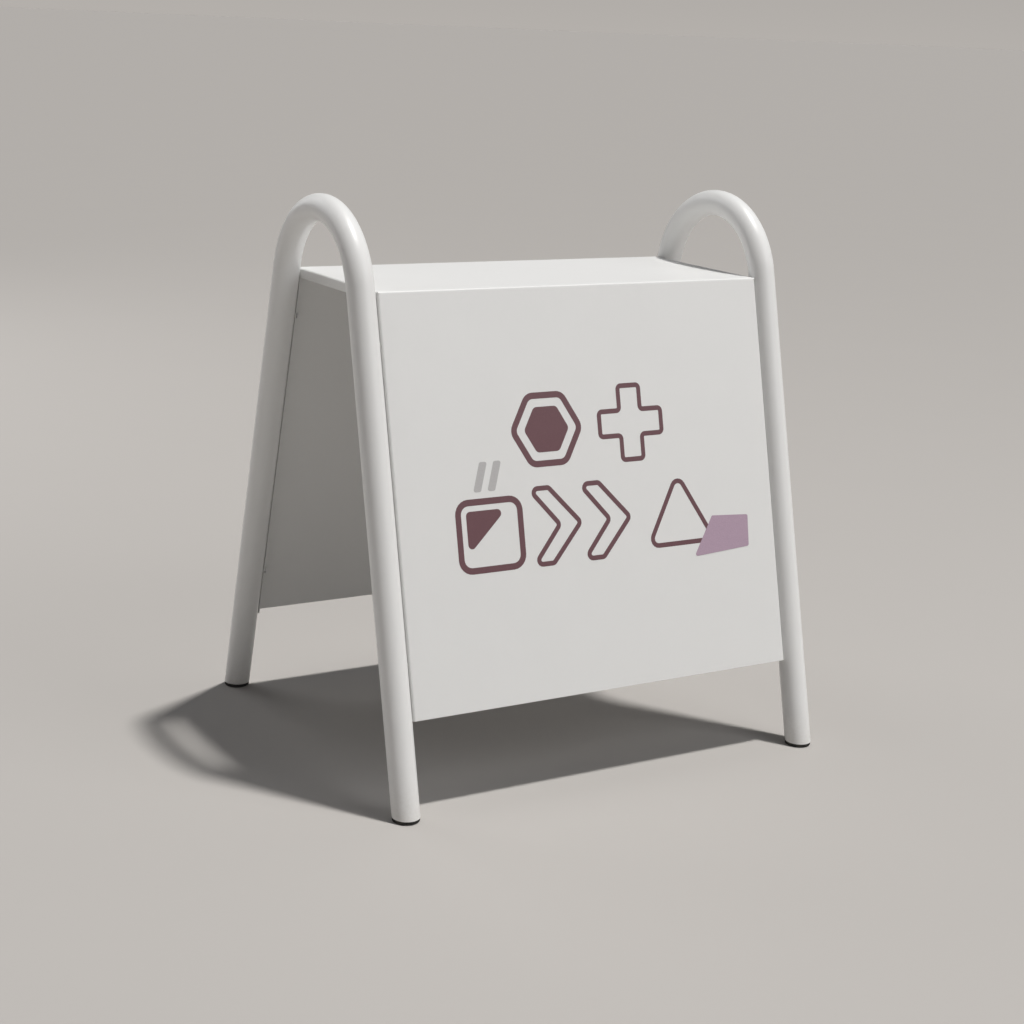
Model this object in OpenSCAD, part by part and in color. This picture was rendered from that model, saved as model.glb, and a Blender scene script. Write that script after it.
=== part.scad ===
// Rigid sandwich board: two bent-tube hoops carry one folded sheet, which makes
// the front face, the top shelf and the back face. The hoop tops are the handles.
// Millimetres. X runs across the board, -Y is the front, and Z = 0 is the floor.

/* [Hoops] */
// Height of the hoop tops above the floor
overall_h = 790; // [640:1:960]
// Distance between the centre planes of the two hoops
hoop_spacing = 658; // [450:1:900]
// Outer diameter of the tube
tube_od = 38; // [32:0.5:46]
// Wall of the tube
tube_wall = 2; // [1.5:0.1:3]
// Radius of the top bend, to the centre line of the tube
bend_r = 120; // [95:1:150]
// Lean of each leg from upright
leg_rake = 14.2; // [8:0.1:20]

/* [Board] */
// Height of the upper surface of the top shelf
shelf_z = 675; // [560:1:700]
// Height of the lower edge of the front and back faces
lower_edge_z = 130; // [60:1:250]
// Thickness of the sheet
sheet_t = 1.5; // [1:0.1:3]
// Inside radius of the folds in the sheet
fold_r = 1.5; // [1:0.1:4]
// Gap between each end return and the tube beside it
end_gap = 1; // [0.5:0.1:3]
// How much bending thins the sheet of a return, on each surface
bend_thinning = 0.05; // [0.03:0.01:0.1]
// Width of the relief cut at each end of a main fold
relief_w = 0.6; // [0.4:0.1:2]

/* [Screws] */
// Distance of the upper screws below the shelf and of the lower ones above the lower edge
screw_inset = 70; // [40:1:150]
// Thread diameter of the screws
screw_d = 6; // [5:1:6]
// Length of the screws under the head
screw_len = 16; // [14:1:20]
// Diameter of the button head
head_d = 10.5; // [8:0.5:11]
// Room between a head and the fold and edge of the return it sits on
head_room = 0.25; // [0.1:0.05:1.5]
// Height of the button head
head_h = 3.3; // [2:0.1:4]
// Width across flats of the hexagon socket
socket_af = 4; // [3:0.5:4]
// Depth of the hexagon socket
socket_depth = 2; // [1:0.1:2.2]
// Thickness of the lock washer under the head
washer_t = 1.6; // [1:0.1:2]
// Outer diameter of the lock washer
washer_d = 9.9; // [9:0.1:10.5]
// Outer diameter of the rivet nut's sleeve
sleeve_d = 9; // [8:0.1:9.5]
// Diameter of the rivet nut's flange and of the bulge behind the tube wall
flange_d = 12; // [11:0.5:13]
// Length of the rivet nut
sleeve_len = 15; // [12:1:17]
// Thickness of the bulge that clamps the rivet nut
bulge_t = 3; // [2:0.1:4]

/* [Feet] */
// Height of the foot pad
pad_h = 5; // [4:0.5:8]
// Distance of the foot pad's rim inside the tube's outer surface
pad_inset = 0.5; // [0:0.1:2]
// Chamfer on the edges of the foot pad
pad_chamfer = 0.8; // [0.2:0.1:1.5]
// Diameter of the levelling stud
stud_d = 8; // [6:1:10]
// Length of the levelling stud above the pad when screwed right in
stud_len = 24; // [20:1:30]
// Width across flats of the hexagon at the foot of the stud
stud_af = 13; // [11:1:17]
// Height of the hexagon at the foot of the stud
stud_hex_h = 3; // [2:0.1:3.2]
// Length of the insert in the tube end
insert_len = 32; // [28:1:45]

/* [Fits] */
// Radial clearance of a screw in the sheet and of a sleeve in the tube wall
hole_clear = 0.2; // [0.1:0.05:0.5]
// Radial clearance where a thread or a plug fits its bore
thread_clear = 0.05; // [0.02:0.01:0.1]
// Gap between the foot pad and the tube end when screwed right in
seat_gap = 0.2; // [0.1:0.05:0.5]

/* [Hidden] */
$fn = 96;
SIDES = ["left", "right"];
FACES = ["front", "back"];
CORNER_PIECES = ["screws", "lock_washers", "rivet_nuts", "foot_insert", "foot_stud", "foot_pad"];

tube_id = tube_od - 2 * tube_wall;
arc_centre_z = overall_h - tube_od / 2 - bend_r;
tangent_y = bend_r * cos(leg_rake);
tangent_z = arc_centre_z + bend_r * sin(leg_rake);
tube_end_z = pad_h + seat_gap;
pad_d = tube_od - 2 * pad_inset;
board_w = hoop_spacing - tube_od - 2 * end_gap;
fold_out = fold_r + sheet_t;
fold_turn = 90 - leg_rake;
// Cuts run past the faces they pierce by this much
through = 1;
// Longer than a leg, which is then cut level
leg_reach = 2 * overall_h;
// Side of the blocks that cut away all that lies on one side of a plane
cut_side = 4 * overall_h;
// Height of the upright rim of a button head, and diameter of its flat crown, as shares of the head's own
HEAD_RIM = 0.25;
HEAD_CROWN = 0.6;
// How far a return's fold runs into the flat sheet
fold_overlap = 0.5;
// Angle by which half of the top bend runs past the top, before it is cut there
bend_overrun = 2;
// Corners of one round stretch in the sheet's outline
FOLD_STEPS = 8;
// Each face lies outside the leg's centre plane, so that a head on that plane clears the fold
face_offset = fold_out + head_room + head_d / 2;
// Depth of the returns at the ends of the sheet, enough to carry a whole head
return_depth = face_offset + head_d / 2 + head_room;

// Distance of a leg's axis from the middle plane at height z
function leg_y(z) = tangent_y + (tangent_z - z) * tan(leg_rake);

// Distance of a face's outer surface from the middle plane at height z
function face_y(z) = leg_y(z) + face_offset / cos(leg_rake);

// Where the front and the shelf surfaces would meet if the fold were sharp
corner_y = face_y(shelf_z);
// Length that the fold takes off each surface it joins
fold_setback = fold_out * tan(fold_turn / 2);
face_len = (shelf_z - lower_edge_z) / cos(leg_rake);
flat_half_w = board_w / 2 - fold_out;
// Angle between a return's mitred end and a square end, so that the cut halves the corner
mitre_angle = fold_turn / 2;

// +1 for the right-hand side and for the back, -1 for the left-hand side and for the front
function side_sign(side) = side == "right" ? 1 : -1;
function face_sign(face) = face == "back" ? 1 : -1;

// Places children at a leg's corner of the board, drawn for the back right-hand one
module at_corner(face, side) {
    mirror([side_sign(side) < 0 ? 1 : 0, 0, 0])
        mirror([0, face_sign(face) < 0 ? 1 : 0, 0])
            children();
}

/* ---------- hoops ---------- */

// Straight tube along Z, from Z = 0
module leg_tube() {
    difference() {
        cylinder(d = tube_od, h = leg_reach);
        translate([0, 0, -through]) cylinder(d = tube_id, h = leg_reach + 2 * through);
    }
}

// Bent tube that carries on from the leg at Z = 0, upwards and over towards +Y, a little past the top
module top_bend() {
    translate([0, bend_r, 0])
        rotate([-90, 0, -90])
            rotate_extrude(angle = fold_turn + bend_overrun)
                translate([bend_r, 0])
                    difference() {
                        circle(d = tube_od);
                        circle(d = tube_id);
                    }
}

// The back half of a hoop, cut level with the floor at its end and upright at the very top
module half_hoop() {
    difference() {
        translate([0, tangent_y, tangent_z])
            rotate([180 + leg_rake, 0, 0]) {
                leg_tube();
                top_bend();
            }
        translate([-cut_side / 2, -cut_side / 2, tube_end_z - cut_side]) cube(cut_side);
        translate([-cut_side / 2, -cut_side, 0]) cube(cut_side);
    }
}

// Holes for the rivet nuts, through the tube wall on the board's side only
module sleeve_holes() {
    for (z = screw_heights(), s = [-1, 1])
        translate([-tube_od, s * leg_y(z), z])
            rotate([0, 90, 0])
                cylinder(d = sleeve_d + 2 * hole_clear, h = tube_od);
}

module hoop() {
    translate([hoop_spacing / 2, 0, 0])
        difference() {
            for (m = [0, 1]) mirror([0, m, 0]) half_hoop();
            sleeve_holes();
        }
}

module left_hoop() {
    color("whitesmoke") mirror([1, 0, 0]) hoop();
}

module right_hoop() {
    color("whitesmoke") hoop();
}

/* ---------- board ---------- */

// Heights of the screw axes on every leg
function screw_heights() = [lower_edge_z + screw_inset, shelf_z - screw_inset];

// Points of an arc about centre c, from one angle to another
function arc_points(c, r, from, to) =
    [for (i = [0 : FOLD_STEPS]) let (a = from + (to - from) * i / FOLD_STEPS) c + r * [cos(a), sin(a)]];

// Half of the sheet's side outline at a depth below its outer surface, from the lower edge of the
// back face up to the middle of the shelf. First coordinate outwards, second coordinate up.
function half_outline(depth) =
    let (c = [corner_y - fold_setback, shelf_z - fold_out], out = [cos(leg_rake), sin(leg_rake)])
    concat(
        [[face_y(lower_edge_z), lower_edge_z] - depth * out],
        arc_points(c, fold_out - depth, leg_rake, 90)
    );

function reversed(points) = [for (i = [len(points) - 1 : -1 : 0]) points[i]];
// The same outline on the other side, run back towards its start
function mirrored(points) = [for (p = reversed(points)) [-p[0], p[1]]];

// Both faces, the shelf and the two folds between them, as one bent sheet
module folded_band() {
    outer = half_outline(0);
    inner = half_outline(sheet_t);
    translate([-flat_half_w, 0, 0])
        rotate([90, 0, 90])
            linear_extrude(2 * flat_half_w)
                polygon(concat(outer, mirrored(outer), reversed(mirrored(inner)), reversed(inner)));
}

// Section of a return: it leaves the flat sheet, turns a quarter round and runs down by return_depth.
// First coordinate along the width, second coordinate out of the face.
module return_section() {
    c = [flat_half_w, -fold_out];
    thin = bend_thinning;
    polygon(concat(
        [[flat_half_w - fold_overlap, -thin]],
        arc_points(c, fold_out - thin, 90, 0),
        [[board_w / 2 - thin, -return_depth], [board_w / 2 - sheet_t + thin, -return_depth]],
        arc_points(c, fold_r + thin, 0, 90),
        [[flat_half_w - fold_overlap, -sheet_t + thin]]
    ));
}

// Cuts a return's end along the line that halves the corner. The end is at Z = 0 and faces -Z.
module mitre_cut() {
    translate([0, -fold_out, 0])
        rotate([-mitre_angle, 0, 0])
            translate([flat_half_w - 2 * fold_out, -2 * return_depth, -2 * return_depth])
                cube([4 * fold_out, 2 * return_depth, 2 * return_depth]);
}

// The two returns of a panel that runs along Z, faces +Y at Y = 0 and is centred on X
module returns(len, mitred_end) {
    return_len = len - relief_w * (mitred_end ? 2 : 1);
    for (m = [0, 1])
        mirror([m, 0, 0])
            translate([0, 0, relief_w])
                difference() {
                    linear_extrude(return_len) return_section();
                    mitre_cut();
                    if (mitred_end) translate([0, 0, return_len]) mirror([0, 0, 1]) mitre_cut();
                }
}

// The returns of the back face, which hang from the fold at the back of the shelf
module face_returns() {
    translate([0, corner_y, shelf_z])
        rotate([180 + leg_rake, 0, 0])
            mirror([0, 1, 0])
                translate([0, 0, fold_setback])
                    returns(face_len - fold_setback, false);
}

module shelf_returns() {
    translate([0, corner_y - fold_setback, shelf_z])
        rotate([90, 0, 0])
            returns(2 * (corner_y - fold_setback), true);
}

module screw_holes() {
    for (z = screw_heights(), sx = [-1, 1], sy = [-1, 1])
        translate([sx * (board_w / 2 + through), sy * leg_y(z), z])
            rotate([0, -sx * 90, 0])
                cylinder(d = screw_d + 2 * hole_clear, h = sheet_t + 2 * through);
}

module board_sheet() {
    color("white")
        difference() {
            union() {
                folded_band();
                shelf_returns();
                for (m = [0, 1]) mirror([0, m, 0]) face_returns();
            }
            screw_holes();
        }
}

/* ---------- fasteners, drawn with their axis on Z and their seat at Z = 0 ---------- */

// Places children on the axes of one leg's screws, with Z outwards and Z = 0 at the return's inner side
module at_screws(face, side) {
    at_corner(face, side)
        for (z = screw_heights())
            translate([board_w / 2 - sheet_t, leg_y(z), z])
                rotate([0, 90, 0])
                    children();
}

module button_screw() {
    rim_h = head_h * HEAD_RIM;
    translate([0, 0, -washer_t])
        difference() {
            union() {
                cylinder(d = screw_d, h = screw_len);
                translate([0, 0, -rim_h]) cylinder(d = head_d, h = rim_h);
                translate([0, 0, -head_h])
                    cylinder(d1 = head_d * HEAD_CROWN, d2 = head_d, h = head_h - rim_h);
            }
            translate([0, 0, -head_h - through])
                cylinder(d = socket_af / cos(30), h = socket_depth + through, $fn = 6);
        }
}

module lock_washer() {
    translate([0, 0, -washer_t])
        difference() {
            cylinder(d = washer_d, h = washer_t);
            translate([0, 0, -through])
                cylinder(d = screw_d + 2 * thread_clear, h = washer_t + 2 * through);
        }
}

// The flange fills the gap between the return and the tube, and the bulge grips the tube's inner wall
module rivet_nut() {
    wall_inner = tube_od / 2 - sqrt(pow(tube_id / 2, 2) - pow(flange_d / 2, 2));
    translate([0, 0, sheet_t])
        difference() {
            union() {
                cylinder(d = flange_d, h = end_gap);
                cylinder(d = sleeve_d, h = sleeve_len);
                translate([0, 0, end_gap + wall_inner + thread_clear]) cylinder(d = flange_d, h = bulge_t);
            }
            translate([0, 0, -through])
                cylinder(d = screw_d + 2 * thread_clear, h = sleeve_len + 2 * through);
        }
}

module screws(face, side) {
    color("silver") at_screws(face, side) button_screw();
}

module lock_washers(face, side) {
    color("gray") at_screws(face, side) lock_washer();
}

module rivet_nuts(face, side) {
    color("lightgray") at_screws(face, side) rivet_nut();
}

/* ---------- feet ---------- */

// Places children under the end of one leg, with Z = 0 on the floor
module at_foot(face, side) {
    at_corner(face, side)
        translate([hoop_spacing / 2, leg_y(tube_end_z), 0])
            children();
}

// Plug pressed into the tube end, level below, with an upright threaded bore for the stud
module foot_insert(face, side) {
    color("dimgray")
        at_foot(face, side)
            difference() {
                translate([0, 0, tube_end_z])
                    rotate([leg_rake, 0, 0])
                        translate([0, 0, -tube_od])
                            cylinder(d = tube_id - 2 * thread_clear, h = insert_len + tube_od);
                translate([-tube_od, -2 * tube_od, tube_end_z - 4 * tube_od])
                    cube([2 * tube_od, 4 * tube_od, 4 * tube_od]);
                cylinder(d = stud_d + 2 * thread_clear, h = 2 * insert_len);
            }
}

module foot_stud(face, side) {
    color("silver")
        at_foot(face, side) {
            translate([0, 0, pad_h - stud_hex_h]) cylinder(d = stud_af / cos(30), h = stud_hex_h, $fn = 6);
            translate([0, 0, pad_h]) cylinder(d = stud_d, h = stud_len);
        }
}

// Plastic pad with a hexagon pocket, so that turning the pad turns the stud
module foot_pad(face, side) {
    color("black")
        at_foot(face, side)
            difference() {
                union() {
                    cylinder(d1 = pad_d - 2 * pad_chamfer, d2 = pad_d, h = pad_chamfer);
                    translate([0, 0, pad_chamfer]) cylinder(d = pad_d, h = pad_h - 2 * pad_chamfer);
                    translate([0, 0, pad_h - pad_chamfer])
                        cylinder(d1 = pad_d, d2 = pad_d - 2 * pad_chamfer, h = pad_chamfer);
                }
                translate([0, 0, pad_h - stud_hex_h])
                    cylinder(d = (stud_af + 2 * thread_clear) / cos(30), h = stud_hex_h + through, $fn = 6);
            }
}

/* ---------- nodes ---------- */

left_hoop();
right_hoop();
board_sheet();
for (face = FACES, side = SIDES) {
    corner = str(face, "_", side, "_");
    screws(face, side);
    lock_washers(face, side);
    rivet_nuts(face, side);
    foot_insert(face, side);
    foot_stud(face, side);
    foot_pad(face, side);
}
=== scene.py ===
"""Looks of a rigid sandwich board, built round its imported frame.

Two bent-tube hoops stand at the ends and carry one folded sheet, which makes the front
face, the shelf and the back face. Everything is in metres, with +Z up and -Y to the front.
"""

import logging
import math
from dataclasses import dataclass
from enum import Enum
from typing import Any, Callable, Iterable, Mapping, Optional, Sequence, Union

import bmesh
import bpy
from mathutils import Matrix, Vector


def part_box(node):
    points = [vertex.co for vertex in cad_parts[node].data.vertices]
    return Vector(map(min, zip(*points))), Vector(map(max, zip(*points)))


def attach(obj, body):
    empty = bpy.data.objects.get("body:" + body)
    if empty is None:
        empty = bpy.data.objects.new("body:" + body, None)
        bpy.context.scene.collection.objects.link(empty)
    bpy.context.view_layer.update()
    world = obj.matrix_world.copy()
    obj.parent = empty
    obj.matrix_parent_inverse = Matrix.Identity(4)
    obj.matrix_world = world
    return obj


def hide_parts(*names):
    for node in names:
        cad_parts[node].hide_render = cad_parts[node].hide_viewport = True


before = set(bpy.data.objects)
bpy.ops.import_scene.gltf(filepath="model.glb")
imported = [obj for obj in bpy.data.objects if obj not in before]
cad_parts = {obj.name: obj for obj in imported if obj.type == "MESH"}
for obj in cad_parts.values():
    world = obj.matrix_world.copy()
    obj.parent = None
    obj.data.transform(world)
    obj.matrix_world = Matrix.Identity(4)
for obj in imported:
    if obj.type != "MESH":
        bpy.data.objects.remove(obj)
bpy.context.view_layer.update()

LOG = logging.getLogger("sandwich_board")
BODY = "frame"
# Sizes read from the frame are rounded to a tenth of a millimetre
FRAME_DECIMALS = 4
# Rings that a thread's mesh has in each turn
RINGS_A_TURN = 6
# Points closer than this are one point
WELD = 1e-6

Colour = tuple[float, float, float]
Point2 = tuple[float, float]


class Side(Enum):
    """An end of the board, with the sign of its X."""

    LEFT = -1
    RIGHT = 1


class Face(Enum):
    """A display face, with the sign of its Y."""

    FRONT = -1
    BACK = 1


# --------------------------------------------------------------------------------------
# Node graphs
# --------------------------------------------------------------------------------------


class Wire:
    """One output socket that takes part in arithmetic, so maths reads as an expression."""

    def __init__(self, graph: "Graph", socket: bpy.types.NodeSocket) -> None:
        """Keeps the socket and the graph that it belongs to."""
        self.graph = graph
        self.socket = socket

    def _math(self, operation: str, left: "Value", right: "Value" = 0.0) -> "Wire":
        """Adds one Math node."""
        return self.graph.add("ShaderNodeMath", {"operation": operation}, {0: left, 1: right})

    def __add__(self, other: "Value") -> "Wire":
        """self + other."""
        return self._math("ADD", self, other)

    def __radd__(self, other: "Value") -> "Wire":
        """other + self."""
        return self._math("ADD", other, self)

    def __sub__(self, other: "Value") -> "Wire":
        """self - other."""
        return self._math("SUBTRACT", self, other)

    def __rsub__(self, other: "Value") -> "Wire":
        """other - self."""
        return self._math("SUBTRACT", other, self)

    def __mul__(self, other: "Value") -> "Wire":
        """self * other."""
        return self._math("MULTIPLY", self, other)

    def __rmul__(self, other: "Value") -> "Wire":
        """other * self."""
        return self._math("MULTIPLY", other, self)

    def __truediv__(self, other: "Value") -> "Wire":
        """self / other."""
        return self._math("DIVIDE", self, other)

    def __neg__(self) -> "Wire":
        """-self."""
        return self._math("MULTIPLY", self, -1.0)

    def __abs__(self) -> "Wire":
        """abs(self)."""
        return self._math("ABSOLUTE", self)

    def function(self, operation: str, other: "Value" = 0.0) -> "Wire":
        """A named operation of the Math node, such as SINE or MINIMUM."""
        return self._math(operation, self, other)

    def clamped(self, low: "Value", high: "Value") -> "Wire":
        """self held between low and high."""
        return self.function("MAXIMUM", low).function("MINIMUM", high)

    def out(self, name: Union[str, int]) -> "Wire":
        """Another output of the node that this one comes from."""
        return Wire(self.graph, self.socket.node.outputs[name])


Value = Union[float, int, bool, str, Sequence[float], Wire, bpy.types.ID]


class Graph:
    """A node tree, filled by calls that return wires."""

    def __init__(self, tree: bpy.types.NodeTree) -> None:
        """Starts from a tree, whose nodes are left as they are."""
        self.tree = tree

    def add(
        self,
        kind: str,
        settings: Optional[Mapping[str, Any]] = None,
        inputs: Optional[Mapping[Union[str, int], Value]] = None,
        output: Union[str, int] = 0,
    ) -> Wire:
        """Adds one node and returns one of its outputs.

        Args:
            kind: The node's type, such as ShaderNodeBump.
            settings: Its properties, set before its sockets.
            inputs: A value or a wire for each socket, by name or place.
            output: The output to return.

        Returns:
            The output as a wire.
        """
        return Wire(self, self.node(kind, settings, inputs).outputs[output])

    def node(
        self,
        kind: str,
        settings: Optional[Mapping[str, Any]] = None,
        inputs: Optional[Mapping[Union[str, int], Value]] = None,
    ) -> bpy.types.Node:
        """Adds one node and returns the node itself.

        Args:
            kind: The node's type.
            settings: Its properties, set before its sockets.
            inputs: A value or a wire for each socket, by name or place.

        Returns:
            The node.
        """
        node = self.tree.nodes.new(kind)
        for name, value in (settings or {}).items():
            setattr(node, name, value)
        for key, value in (inputs or {}).items():
            self.feed(node.inputs[key], value)
        return node

    def feed(self, socket: bpy.types.NodeSocket, value: Value) -> None:
        """Links a wire to a socket, or sets the socket's own value.

        Args:
            socket: The input socket.
            value: The wire or the value.
        """
        if isinstance(value, Wire):
            self.tree.links.new(value.socket, socket)
        else:
            socket.default_value = value

    def vector(self, x: Value, y: Value, z: Value) -> Wire:
        """A vector from three numbers or wires."""
        return self.add("ShaderNodeCombineXYZ", None, {0: x, 1: y, 2: z})


class Recipe(Graph):
    """A Geometry Nodes tree with named inputs for its sizes."""

    def __init__(self, name: str) -> None:
        """Makes an empty tree with a geometry input and output.

        Args:
            name: The tree's name.
        """
        super().__init__(bpy.data.node_groups.new(name, "GeometryNodeTree"))
        sockets = self.tree.interface
        for direction in ("INPUT", "OUTPUT"):
            sockets.new_socket("Geometry", in_out=direction, socket_type="NodeSocketGeometry")
        self._entry = self.tree.nodes.new("NodeGroupInput")
        self._exit = self.tree.nodes.new("NodeGroupOutput")
        self.geometry = Wire(self, self._entry.outputs[0])

    def size(self, name: str, kind: str = "Float") -> Wire:
        """Adds a named input, of kind Float, Int, Vector or Material."""
        self.tree.interface.new_socket(name, in_out="INPUT", socket_type="NodeSocket" + kind)
        return Wire(self, self._entry.outputs[name])

    def store(self, geometry: Wire, name: str, value: Wire) -> Wire:
        """Keeps a number on each point, as it is at this stage of the tree.

        Args:
            geometry: The geometry to keep it on.
            name: The attribute's name.
            value: The number.

        Returns:
            The geometry with the attribute.
        """
        return self.add(
            "GeometryNodeStoreNamedAttribute",
            {"data_type": "FLOAT", "domain": "POINT"},
            {"Geometry": geometry, "Name": name, "Value": value},
        )

    def stored(self, name: str) -> Wire:
        """A number that was stored on each point."""
        return self.add("GeometryNodeInputNamedAttribute", {"data_type": "FLOAT"}, {"Name": name})

    def close(self, geometry: Wire) -> None:
        """Ends the tree: instances become a mesh, smooth-shaded and in one material.

        Args:
            geometry: What the tree has built.
        """
        real = self.add("GeometryNodeRealizeInstances", None, {"Geometry": geometry})
        smooth = self.add("GeometryNodeSetShadeSmooth", None, {"Geometry": real, "Shade Smooth": True})
        finish = self.size("Material", "Material")
        dressed = self.add("GeometryNodeSetMaterial", None, {"Geometry": smooth, "Material": finish})
        self.feed(self._exit.inputs[0], dressed)

    def cook(self, name: str, mesh: bpy.types.Mesh, sizes: Mapping[str, Any]) -> bpy.types.Object:
        """Runs the tree on a mesh.

        Args:
            name: The name of the piece.
            mesh: The mesh that enters the tree.
            sizes: The tree's inputs, by name.

        Returns:
            A new object with the result as a plain mesh.
        """
        source = link(bpy.data.objects.new(name + "_source", mesh))
        modifier = source.modifiers.new("Recipe", "NODES")
        modifier.node_group = self.tree
        for item in self.tree.interface.items_tree:
            if item.in_out == "INPUT" and item.name in sizes:
                modifier[item.identifier] = sizes[item.name]
        depsgraph = bpy.context.evaluated_depsgraph_get()
        result = bpy.data.meshes.new_from_object(source.evaluated_get(depsgraph), depsgraph=depsgraph)
        source.modifiers.clear()
        bpy.data.objects.remove(source)
        result.name = name
        return link(bpy.data.objects.new(name, result))


def link(obj: bpy.types.Object) -> bpy.types.Object:
    """Puts an object in the scene and returns it."""
    bpy.context.scene.collection.objects.link(obj)
    return obj


# --------------------------------------------------------------------------------------
# Finishes
# --------------------------------------------------------------------------------------


@dataclass(frozen=True)
class Finish:
    """What all finishes share: a name, a colour and how rough the surface is."""

    name: str
    colour: Colour
    roughness: float

    def build(self) -> bpy.types.Material:
        """Makes the material, with the details that the subclass paints.

        Returns:
            The material.
        """
        material = bpy.data.materials.new(self.name)
        material.use_nodes = True
        material.node_tree.nodes.clear()
        graph = Graph(material.node_tree)
        shader = graph.add("ShaderNodeBsdfPrincipled", None, self._constants())
        node = shader.socket.node
        place = graph.add("ShaderNodeTexCoord", None, None, "Object")
        for socket, value in self.paint(graph, place).items():
            graph.feed(node.inputs[socket], value)
        graph.node("ShaderNodeOutputMaterial", None, {"Surface": shader})
        return material

    def _constants(self) -> dict[str, Value]:
        """Sockets that are the same all over the surface."""
        return {"Roughness": self.roughness, "Base Color": (*self.colour, 1.0)}

    def paint(self, graph: Graph, place: Wire) -> dict[str, Value]:
        """What changes over the surface.

        Args:
            graph: The material's graph.
            place: Coordinates in metres.

        Returns:
            Wires by the names of the shader's sockets.
        """
        raise NotImplementedError

    @staticmethod
    def noise(
        graph: Graph,
        place: Wire,
        spacing: float,
        detail: float = 2.0,
        stretch: Sequence[float] = (1, 1, 1),
    ) -> Wire:
        """Smooth noise around 0.5.

        Args:
            graph: The material's graph.
            place: Coordinates in metres.
            spacing: The distance between its bumps, in metres.
            detail: How many finer layers it holds.
            stretch: How much denser it is along each axis.

        Returns:
            The noise's value.
        """
        scale = tuple(s / spacing for s in stretch)
        where = graph.add("ShaderNodeMapping", None, {"Vector": place, "Scale": scale})
        sockets = {"Vector": where, "Scale": 1.0, "Detail": detail, "Roughness": 0.5}
        return graph.add("ShaderNodeTexNoise", None, sockets)

    @staticmethod
    def tint(graph: Graph, amount: Value, colour: Value, other: Value) -> Wire:
        """Mixes two colours.

        Args:
            graph: The material's graph.
            amount: How much of the second colour there is, from 0 to 1.
            colour: The colour where amount is 0.
            other: The colour where amount is 1.

        Returns:
            The mixed colour.
        """
        first, second = (c if isinstance(c, Wire) else (*c, 1.0) for c in (colour, other))
        return graph.add(
            "ShaderNodeMix",
            {"data_type": "RGBA", "clamp_factor": True},
            {0: amount, 6: first, 7: second},
            2,
        )

    @staticmethod
    def bump(graph: Graph, height: Wire, depth: float, base: Optional[Wire] = None) -> Wire:
        """A bumped normal.

        Args:
            graph: The material's graph.
            height: The height, from 0 to 1.
            depth: How many metres a height of 1 stands for.
            base: A normal that the bumps lie on.

        Returns:
            The normal.
        """
        inputs: dict[Union[str, int], Value] = {"Height": height, "Distance": depth, "Strength": 1.0}
        if base is not None:
            inputs["Normal"] = base
        return graph.add("ShaderNodeBump", None, inputs)


@dataclass(frozen=True)
class PowderCoat(Finish):
    """Sprayed and baked white paint: a fine orange peel, faint clouding and dust near the floor."""

    peel_spacing: float = 0.0018
    peel_depth: float = 0.00001
    grit_spacing: float = 0.00045
    grit_depth: float = 0.0000025
    cloud_spacing: float = 0.09
    speck_spacing: float = 0.004
    cloud_part: float = 0.6
    speck_part: float = 0.4
    shade: float = 0.955
    cloud_gloss: float = 0.08
    speck_gloss: float = 0.05
    dust_top: float = 0.085
    dust_cover: float = 0.35
    dust_gloss: float = 0.6
    dust_colour: Colour = (0.42, 0.35, 0.28)

    def paint(self, graph: Graph, place: Wire) -> dict[str, Value]:
        """Clouding, dust, uneven gloss and orange peel.

        Args:
            graph: The material's graph.
            place: Coordinates in metres.

        Returns:
            Wires by the names of the shader's sockets.
        """
        cloud = self.noise(graph, place, self.cloud_spacing, 3.0)
        speck = self.noise(graph, place, self.speck_spacing, 3.0)
        height = graph.add("ShaderNodeSeparateXYZ", None, {0: place}, 2)
        fall = (1.0 - height / self.dust_top).clamped(0.0, 1.0)
        dust = fall * fall * speck * self.dust_cover
        shaded = tuple(c * self.shade for c in self.colour)
        mottle = cloud * self.cloud_part + speck * self.speck_part
        mottled = self.tint(graph, mottle, self.colour, shaded)
        peel = self.bump(graph, self.noise(graph, place, self.peel_spacing, 1.0), self.peel_depth)
        grit = self.noise(graph, place, self.grit_spacing, 0.0)
        uneven = (cloud - 0.5) * self.cloud_gloss + (speck - 0.5) * self.speck_gloss
        return {
            "Base Color": self.tint(graph, dust, mottled, self.dust_colour),
            "Roughness": self.roughness + uneven + dust * self.dust_gloss,
            "Normal": self.bump(graph, grit, self.grit_depth, peel),
        }


@dataclass(frozen=True)
class Plating(Finish):
    """Bright zinc or bare spring steel, with fine turning marks and a cloudy film."""

    film_colour: Colour = (0.62, 0.60, 0.52)
    film_start: float = 0.35
    film_growth: float = 1.6
    patch_spacing: float = 0.006
    patch_gloss: float = 0.2
    mark_spacing: float = 0.0003
    mark_stretch: tuple[float, float, float] = (1, 1, 4)
    mark_depth: float = 0.000008
    mark_gloss: float = 0.1

    def _constants(self) -> dict[str, Value]:
        """Metal all over."""
        return {"Metallic": 1.0, **super()._constants()}

    def paint(self, graph: Graph, place: Wire) -> dict[str, Value]:
        """A patchy film and fine marks.

        Args:
            graph: The material's graph.
            place: Coordinates in metres.

        Returns:
            Wires by the names of the shader's sockets.
        """
        patch = self.noise(graph, place, self.patch_spacing, 3.0)
        mark = self.noise(graph, place, self.mark_spacing, 2.0, self.mark_stretch)
        film = (patch - self.film_start) * self.film_growth
        uneven = (patch - 0.5) * self.patch_gloss + (mark - 0.5) * self.mark_gloss
        return {
            "Base Color": self.tint(graph, film, self.colour, self.film_colour),
            "Roughness": self.roughness + uneven,
            "Normal": self.bump(graph, mark, self.mark_depth),
        }


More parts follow.
